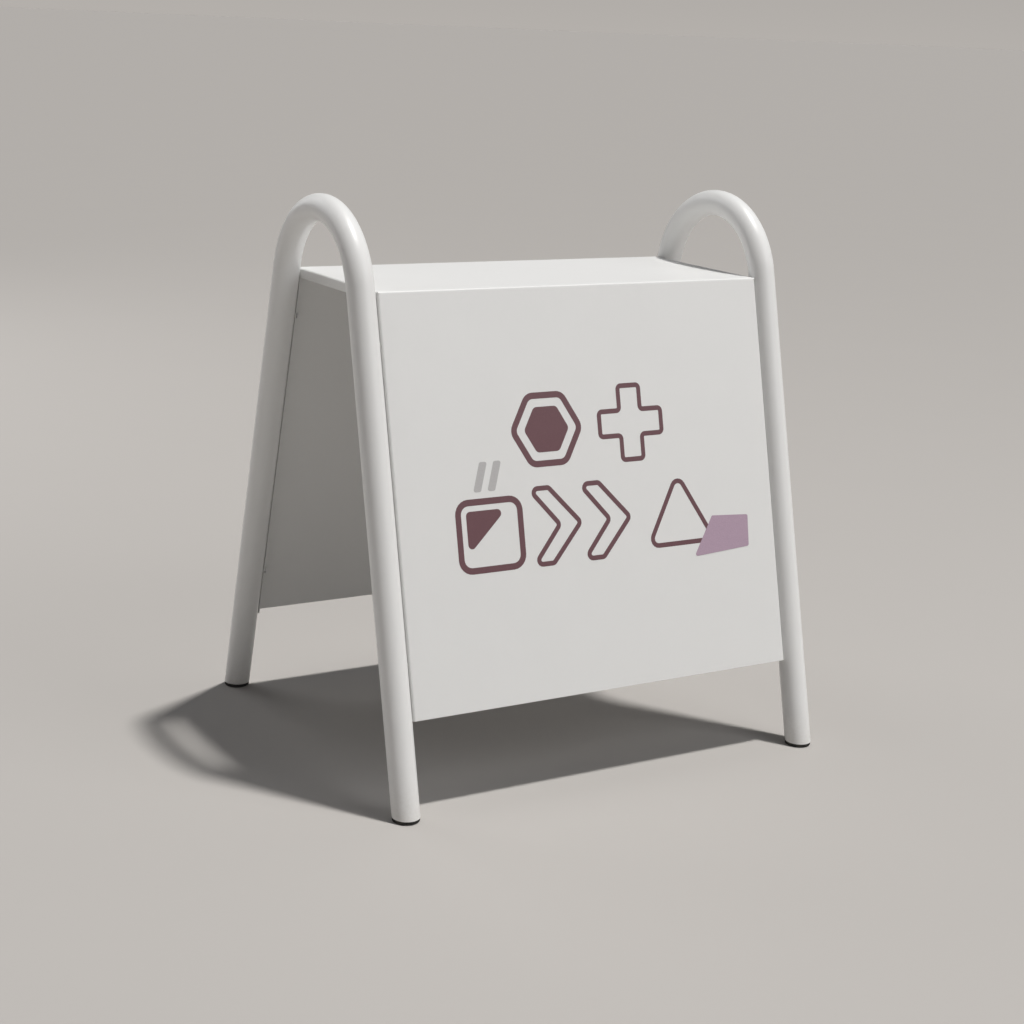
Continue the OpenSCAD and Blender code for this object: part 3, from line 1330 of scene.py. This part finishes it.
@dataclass
class Feet:
    """The levelling feet: a pad on a threaded stud at each leg, and the plug that the stud runs in."""

    layout: Layout
    palette: Palette
    sides: int = 96
    edge: float = 0.0009
    edge_steps: int = 5
    ribs: int = 48
    rib_sides: int = 8
    rib_radius: float = 0.00055
    rib_depth: float = 0.00035
    rib_root: float = 0.0001
    pocket_edge: float = 0.0002
    pocket_clearance: float = 0.00005
    sole_groove: float = 0.0006
    ring_outer: float = 0.85
    ring_inner: float = 0.65
    hollow: float = 0.49
    groove_slope: float = 0.01
    stud_sides: int = 48
    stud_across: float = 0.013
    stud_hex: float = 0.003
    stud_hex_chamfer: float = 0.0003
    stud_length: float = 0.024
    stud_edge: float = 0.00012
    stud_edge_angle: float = 50.0
    thread: Thread = Thread(radius=0.004, pitch=0.00125, depth=0.00055, chamfer=0.0007)

    def build(self) -> None:
        """Builds the pads and studs, and dresses the plugs, which keep their CAD shape."""
        for face in Face:
            for side in Side:
                corner = f"{face.name.lower()}_{side.name.lower()}"
                low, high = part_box(corner + "_foot_pad")
                centre = Vector(((low.x + high.x) / 2, (low.y + high.y) / 2, 0.0))
                body = corner + "_foot"
                self._pad(corner, centre, (high.x - low.x) / 2, high.z, body)
                self._stud(corner, centre, high.z, body)
                self._dress_insert(corner)

    def _pad(self, corner: str, centre: Vector, radius: float, height: float, body: str) -> None:
        """Builds one pad with a ribbed rim, a hexagon pocket and a ringed sole.

        Args:
            corner: The corner's name.
            centre: The middle of the pad's sole.
            radius: The pad's radius, ribs included.
            height: The pad's height.
            body: The body that it moves with.
        """
        tree = self.rim_recipe()
        pocket = self.stud_across / 2 + self.pocket_clearance
        floor = height - self.stud_hex
        core = radius - self.rib_depth
        slope = self.groove_slope
        profile = [
            (0.0, floor), (pocket, floor), (pocket, height - self.pocket_edge),
            (pocket + self.pocket_edge, height),
            *arc(self.edge, (core - self.edge, height - self.edge), 90, 0, self.edge_steps),
            *arc(self.edge, (core - self.edge, self.edge), 0, -90, self.edge_steps),
            (core * (self.ring_outer + slope), 0.0), (core * (self.ring_outer - slope), self.sole_groove),
            (core * (self.ring_inner + slope), self.sole_groove), (core * (self.ring_inner - slope), 0.0),
            (core * (self.hollow + slope), 0.0), (core * (self.hollow - slope), self.sole_groove),
            (0.0, self.sole_groove),
        ]

        def shape(r: float, angle: float, z: float) -> float:
            """A hexagon in the pocket and a circle elsewhere.

            Args:
                r: The profile's radius.
                angle: The angle about the pad.
                z: The height.

            Returns:
                The radius at that angle.
            """
            in_pocket = z >= floor - WELD and r < pocket + 1.5 * self.pocket_edge
            return hexagon(angle, 2 * r) if in_pocket else r

        sizes = {
            "Count": self.ribs,
            "Rim Radius": core - self.rib_root,
            "Rib Radius": self.rib_radius,
            "Rib Sides": self.rib_sides,
            "Rib Length": height - 2 * self.edge,
            "Middle Height": height / 2,
            "Material": self.palette.black_pad,
        }
        pad = tree.cook(corner + "_pad", lathe("foot_pad", profile, self.sides, shape), sizes)
        pad.data.transform(Matrix.Translation(centre))
        place(pad, body, "black_rubber_pad", [corner + "_foot_pad"])

    @staticmethod
    def rim_recipe() -> Recipe:
        """Upright grip ribs round the rim of the incoming pad.

        Returns:
            The tree.
        """
        tree = Recipe("ribbed_rim")
        count, rim = tree.size("Count", "Int"), tree.size("Rim Radius")
        radius, sides = tree.size("Rib Radius"), tree.size("Rib Sides", "Int")
        length, middle = tree.size("Rib Length"), tree.size("Middle Height")
        circle = tree.add("GeometryNodeMeshCircle", None, {"Vertices": count, "Radius": rim})
        lift = {"Geometry": circle, "Translation": tree.vector(0, 0, middle)}
        raised = tree.add("GeometryNodeTransform", None, lift)
        rod = {"Vertices": sides, "Radius": radius, "Depth": length}
        rib = tree.add("GeometryNodeMeshCylinder", None, rod)
        ribs = tree.add("GeometryNodeInstanceOnPoints", None, {"Points": raised, "Instance": rib})
        both = tree.add("GeometryNodeJoinGeometry", None, {"Geometry": ribs})
        tree.feed(both.socket.node.inputs[0], tree.geometry)
        tree.close(both)
        return tree

    def _stud(self, corner: str, centre: Vector, pad_height: float, body: str) -> None:
        """Builds one stud: a hexagon foot in the pad's pocket and a threaded shank.

        Args:
            corner: The corner's name.
            centre: The middle of the pad's sole.
            pad_height: The pad's height, from which the shank rises.
            body: The body that it moves with.
        """
        end = pad_height + self.stud_length
        across = self.stud_across / 2
        foot = pad_height - self.stud_hex
        profile = [
            (0.0, foot), (across, foot), (across, pad_height - self.pocket_edge),
            (across - self.stud_hex_chamfer, pad_height), (self.thread.radius, pad_height),
            *self.thread.rings(pad_height, end), (0.0, end),
        ]

        def shape(r: float, angle: float, z: float) -> float:
            """A hexagon at the foot and a helix on the shank.

            Args:
                r: The profile's radius.
                angle: The angle about the stud.
                z: The height.

            Returns:
                The radius at that angle.
            """
            if z > pad_height + WELD:
                return r - self.thread.groove(angle, z, min(end - z, z - pad_height))
            return hexagon(angle, 2 * r) if r > self.thread.radius + WELD else r

        mesh = lathe("foot_stud", profile, self.stud_sides, shape)
        mesh.transform(Matrix.Translation(centre))
        for face in mesh.polygons:
            face.use_smooth = True
        stud = link(bpy.data.objects.new(corner + "_stud", mesh))
        mesh.materials.append(self.palette.zinc)
        soften(stud, self.stud_edge, angle=self.stud_edge_angle)
        place(stud, body, "zinc_stud", [corner + "_foot_stud"])

    def _dress_insert(self, corner: str) -> None:
        """Gives the plug in the tube end its moulded nylon.

        Args:
            corner: The corner's name.
        """
        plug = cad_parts[corner + "_foot_insert"]
        plug.data.materials.clear()
        plug.data.materials.append(self.palette.black_nylon)


# --------------------------------------------------------------------------------------
# Graphics
# --------------------------------------------------------------------------------------


@dataclass(frozen=True)
class Shape:
    """One cut of film: a closed outline, drawn as a stroke or filled in."""

    points: tuple[Point2, ...]
    corner: float
    stroke: float = 0.0
    layer: int = 0

    @property
    def filled(self) -> bool:
        """Whether the shape is filled in."""
        return self.stroke == 0.0


def polygon(centre: Point2, radius: float, count: int, first: float = 90.0) -> tuple[Point2, ...]:
    """Corners of a regular polygon.

    Args:
        centre: Its centre.
        radius: The distance from the centre to a corner.
        count: How many corners it has.
        first: The first corner's angle, in degrees.

    Returns:
        The corners.
    """
    angles = [math.radians(first + 360 * i / count) for i in range(count)]
    return tuple((centre[0] + radius * math.cos(a), centre[1] + radius * math.sin(a)) for a in angles)


def moved(points: Iterable[Point2], right: float, up: float) -> tuple[Point2, ...]:
    """Points shifted to the right and up."""
    return tuple((x + right, y + up) for x, y in points)


@dataclass
class Graphics:
    """Plain geometric shapes in cut vinyl on the front face.

    Places are on the face: X to the right of the middle, Y up from the shelf's edge.
    """

    layout: Layout
    palette: Palette
    film: float = 0.00012
    layer_step: float = 1.1
    fine: float = 0.0068
    bold: float = 0.0088
    arc_points: int = 6
    upper_row: float = -0.196
    lower_row: float = -0.328
    tile_column: float = -0.170

    def build(self) -> None:
        """Cuts each shape as a piece of its own and lays it on the front face."""
        stroke_tree, fill_tree = self.recipe(filled=False), self.recipe(filled=True)
        for colour, shapes in self.design().items():
            material = getattr(self.palette, colour)
            for filled, tree in ((False, stroke_tree), (True, fill_tree)):
                chosen = [s for s in shapes if s.filled == filled]
                for number, shape in enumerate(chosen):
                    name = f"film_{colour}_{'fill' if filled else 'outline'}_{number}"
                    sizes = {"Corner": shape.corner, "Corner Points": self.arc_points,
                             "Stroke": shape.stroke, "Film": self.film, "Material": material}
                    piece = tree.cook(name, self._loop(name, shape.points), sizes)
                    lift = Matrix.Translation((0.0, 0.0, shape.layer * self.layer_step * self.film))
                    piece.data.transform(self.layout.face_matrix(Face.FRONT) @ lift)
                    for item in piece.data.polygons:
                        item.use_smooth = False
                    place(piece, BODY)

    def design(self) -> dict[str, list[Shape]]:
        """The shapes of each colour, in two rows.

        Returns:
            The shapes by the name of their finish.
        """
        upper, lower = self.upper_row, self.lower_row
        badge, tile = (-0.069, upper), (self.tile_column, lower - 0.004)
        plus = self.plus(0.052, 0.0175)
        upper_arm = ((-0.043, 0.052), (-0.012, 0.052), (0.036, 0.0))
        chevron = (*upper_arm, (-0.012, -0.052), (-0.043, -0.052), (0.002, 0.0))
        tag = ((-0.050, -0.022), (-0.014, 0.034), (0.050, 0.030), (0.048, -0.016))
        slash = ((-0.012, 0.0), (0.0, 0.0), (0.013, 0.040), (0.001, 0.040))
        return {
            "maroon": [
                Shape(polygon(badge, 0.054, 6, 0.0), 0.014, self.bold),
                Shape(polygon(badge, 0.036, 6, 0.0), 0.008),
                Shape(moved(plus, 0.070, upper), 0.005, self.fine),
                Shape(moved(self.block(0.048, -0.046, 0.046), *tile), 0.016, self.bold),
                Shape(moved(((-0.036, -0.024), (0.028, 0.034), (-0.036, 0.034)), *tile), 0.006),
                Shape(moved(chevron, -0.062, lower), 0.006, self.fine),
                Shape(moved(chevron, 0.020, lower), 0.006, self.fine),
                Shape(polygon((0.142, lower - 0.013), 0.066, 3), 0.010, self.fine),
            ],
            "mauve": [Shape(moved(tag, 0.212, lower - 0.046), 0.003, layer=1)],
            "grey": [
                Shape(moved(slash, tile[0] - 0.010, lower + 0.055), 0.003),
                Shape(moved(slash, tile[0] + 0.012, lower + 0.055), 0.003),
            ],
        }

    @staticmethod
    def plus(reach: float, half: float) -> tuple[Point2, ...]:
        """A plus sign.

        Args:
            reach: How far its arms reach.
            half: Half of an arm's width.

        Returns:
            Its corners.
        """
        turned = [(half, reach), (half, half), (reach, half)]
        points: list[Point2] = []
        for _ in range(4):
            points += turned
            turned = [(y, -x) for x, y in turned]
        return tuple(points)

    @staticmethod
    def block(half: float, low: float, high: float) -> tuple[Point2, ...]:
        """An upright rectangle, from half of its width and its lower and upper edge."""
        return ((-half, low), (half, low), (half, high), (-half, high))

    @staticmethod
    def _loop(name: str, points: Sequence[Point2]) -> bpy.types.Mesh:
        """Turns an outline into a mesh.

        Args:
            name: The mesh's name.
            points: The outline's corners.

        Returns:
            A mesh of edges round the outline.
        """
        mesh = bpy.data.meshes.new(name)
        count = len(points)
        edges = [(i, (i + 1) % count) for i in range(count)]
        mesh.from_pydata([(x, y, 0.0) for x, y in points], edges, [])
        return mesh

    @staticmethod
    def recipe(filled: bool) -> Recipe:
        """Cut film along, or inside, the incoming loop, with its corners rounded.

        Args:
            filled: Whether the loop is filled in.

        Returns:
            The tree.
        """
        tree = Recipe("filled_film" if filled else "outlined_film")
        corner, points = tree.size("Corner"), tree.size("Corner Points", "Int")
        stroke, film = tree.size("Stroke"), tree.size("Film")
        loop = tree.add("GeometryNodeMeshToCurve", None, {"Mesh": tree.geometry})
        loop = tree.add("GeometryNodeFilletCurve", {"mode": "POLY"},
                        {"Curve": loop, "Count": points, "Radius": corner, "Limit Radius": True})
        if filled:
            flat = tree.add("GeometryNodeFillCurve", {"mode": "NGONS"}, {"Curve": loop})
            up = tree.vector(0.0, 0.0, 1.0)
            rise = {"Mesh": flat, "Offset": up, "Offset Scale": film, "Individual": False}
            tree.close(tree.add("GeometryNodeExtrudeMesh", None, rise))
            return tree
        # Half of the band's height lies under the sheet's surface
        section = {"Width": stroke, "Height": film * 2.0}
        band = tree.add("GeometryNodeCurvePrimitiveQuadrilateral", None, section)
        tree.close(tree.add("GeometryNodeCurveToMesh", None, {"Curve": loop, "Profile Curve": band}))
        return tree


# --------------------------------------------------------------------------------------
# Studio
# --------------------------------------------------------------------------------------


@dataclass(frozen=True)
class Lamp:
    """A light in the studio, placed by where it stands as seen from the board.

    Azimuth 0 is straight in front of the board, and it grows towards +X.
    """

    name: str
    azimuth: float
    elevation: float
    power: float
    colour: Colour = (1.0, 1.0, 1.0)

    def hang(self, target: Vector) -> None:
        """Puts the light up and turns it to the target.

        Args:
            target: The point that it shines at.
        """
        light = link(bpy.data.objects.new(self.name, self.data()))
        around, up = math.radians(self.azimuth), math.radians(self.elevation)
        way = Vector((math.sin(around) * math.cos(up), -math.cos(around) * math.cos(up), math.sin(up)))
        light.location = target + way * self.reach
        light.rotation_euler = way.to_track_quat("Z", "Y").to_euler()
        light.data.energy = self.power
        light.data.color = self.colour

    @property
    def reach(self) -> float:
        """Distance from the target."""
        return 6.0

    def data(self) -> bpy.types.Light:
        """Makes the light's own data."""
        raise NotImplementedError


@dataclass(frozen=True)
class KeyLamp(Lamp):
    """A far lamp behind a diffuser: its light is even over the whole floor."""

    spread: float = 4.0

    def data(self) -> bpy.types.Light:
        """Makes a sun with a wide disc.

        Returns:
            The light's data.
        """
        sun = bpy.data.lights.new(self.name, "SUN")
        sun.angle = math.radians(self.spread)
        return sun


@dataclass(frozen=True)
class SoftBox(Lamp):
    """A large square panel near the board."""

    size: float = 2.5
    distance: float = 4.5

    @property
    def reach(self) -> float:
        """Distance from the target."""
        return self.distance

    def data(self) -> bpy.types.Light:
        """Makes a square area light.

        Returns:
            The light's data.
        """
        area = bpy.data.lights.new(self.name, "AREA")
        area.shape = "SQUARE"
        area.size = self.size
        return area


@dataclass
class Studio:
    """Floor, lights and camera."""

    floor_colour: Colour = (0.43, 0.41, 0.39)
    floor_roughness: float = 0.85
    floor_half: float = 300.0
    horizon_colour: Colour = (0.455, 0.43, 0.405)
    zenith_colour: Colour = (0.10, 0.105, 0.115)
    sky_rise: float = 2.5
    lamp_aim: float = 0.4
    camera_place: tuple[float, float, float] = (-1.4153, -2.3128, 1.0216)
    camera_yaw: float = 31.238
    camera_pitch: float = 14.561
    camera_roll: float = -2.54
    lens: float = 66.13

    def build(self) -> None:
        """Sets up the floor, the air light, the lamps and the camera."""
        self._floor()
        self._air()
        for lamp in (
            KeyLamp("key_light", 64.6, 75.0, 3.0, (1.0, 0.985, 0.965)),
            SoftBox("front_fill", 30.0, 30.0, 46.0, (0.985, 0.99, 1.0)),
            SoftBox("back_fill", 205.0, 24.0, 34.0, (0.985, 0.99, 1.0)),
        ):
            lamp.hang(Vector((0.0, 0.0, self.lamp_aim)))
        self._camera()
        bpy.context.scene.view_settings.view_transform = "Standard"

    def _floor(self) -> None:
        """Lays the floor."""
        mesh = bpy.data.meshes.new("studio_floor")
        h = self.floor_half
        mesh.from_pydata([(-h, -h, 0), (h, -h, 0), (h, h, 0), (-h, h, 0)], [], [(0, 1, 2, 3)])
        mesh.materials.append(StudioPaper("studio_paper", self.floor_colour, self.floor_roughness).build())
        link(bpy.data.objects.new("studio_floor", mesh))

    def _air(self) -> None:
        """Fills the room with soft light, as bright as the floor at the horizon and dimmer above."""
        world = bpy.data.worlds.new("studio_air")
        world.use_nodes = True
        world.node_tree.nodes.clear()
        graph = Graph(world.node_tree)
        way = graph.add("ShaderNodeTexCoord", None, None, "Generated")
        height = graph.add("ShaderNodeSeparateXYZ", None, {0: way}, 2)
        rise = (height * self.sky_rise).clamped(0.0, 1.0)
        colour = Finish.tint(graph, rise, self.horizon_colour, self.zenith_colour)
        background = graph.add("ShaderNodeBackground", None, {"Color": colour, "Strength": 1.0})
        graph.node("ShaderNodeOutputWorld", None, {"Surface": background})
        bpy.context.scene.world = world

    def _camera(self) -> None:
        """Stands the camera at the front left, looking a little down."""
        data = bpy.data.cameras.new("camera")
        data.lens = self.lens
        data.clip_end = 2 * self.floor_half
        camera = link(bpy.data.objects.new("camera", data))
        yaw, pitch = math.radians(self.camera_yaw), math.radians(self.camera_pitch)
        ahead = Vector((math.sin(yaw) * math.cos(pitch), math.cos(yaw) * math.cos(pitch), -math.sin(pitch)))
        level = ahead.to_track_quat("-Z", "Y")
        roll = Matrix.Rotation(math.radians(self.camera_roll), 4, ahead)
        camera.matrix_world = Matrix.Translation(self.camera_place) @ roll @ level.to_matrix().to_4x4()
        bpy.context.scene.camera = camera


def main() -> None:
    """Builds the studio and every piece of the board."""
    logging.basicConfig(level=logging.INFO, format="%(name)s: %(message)s")
    layout, palette = Layout.from_frame(), Palette()
    LOG.info("%s", layout)
    Studio().build()
    Hoops(layout, palette).build()
    BoardSheet(layout, palette).build()
    Fasteners(layout, palette).build()
    Feet(layout, palette).build()
    Graphics(layout, palette).build()


if __name__ == "__main__":
    main()
